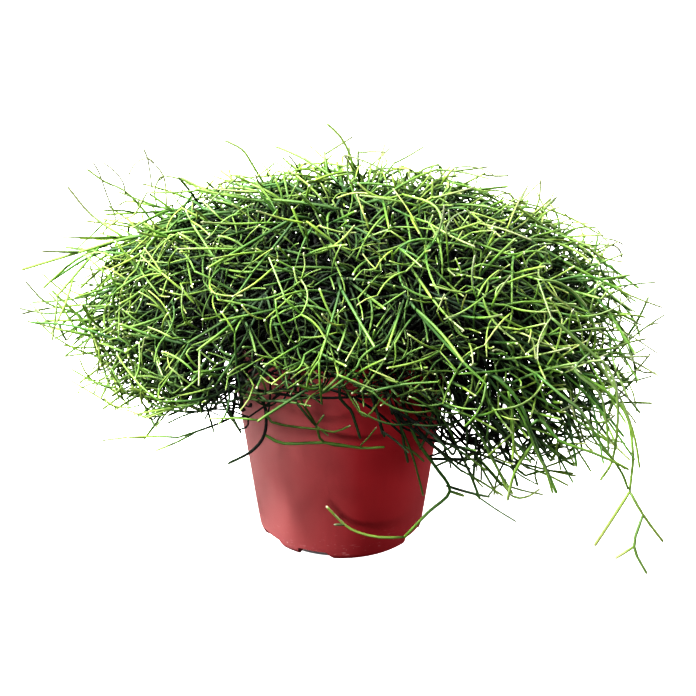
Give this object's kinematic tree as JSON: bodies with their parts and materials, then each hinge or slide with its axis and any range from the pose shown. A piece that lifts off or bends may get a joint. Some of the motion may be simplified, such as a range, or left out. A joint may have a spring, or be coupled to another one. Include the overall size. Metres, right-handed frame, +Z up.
{
  "type": "potted mistletoe cactus",
  "caption": "Leafless, thin-stemmed hanging cactus that arches over the rim of a tapered plastic nursery pot filled with potting mix; it stands on its own pot.",
  "frame": {"origin": "middle of the underside of the pot, on the surface that it stands on", "axes": "+Z up the pot; +X along the widest way of the crown, to the right as seen from the front; -Y to the front"},
  "size_m": [0.3317, 0.2242, 0.2103],
  "materials": {
    "pot": "satin",
    "soil": "matte",
    "stem": "satin"
  },
  "bodies": {
    "root": {"pot": "pot", "soil": "soil", "cutting_01": "stem", "cutting_02": "stem", "cutting_03": "stem", "cutting_04": "stem", "cutting_05": "stem", "cutting_06": "stem", "cutting_07": "stem", "cutting_08": "stem", "cutting_09": "stem", "cutting_10": "stem", "cutting_11": "stem", "cutting_12": "stem", "cutting_13": "stem", "cutting_14": "stem"}
  },
  "joints": []
}
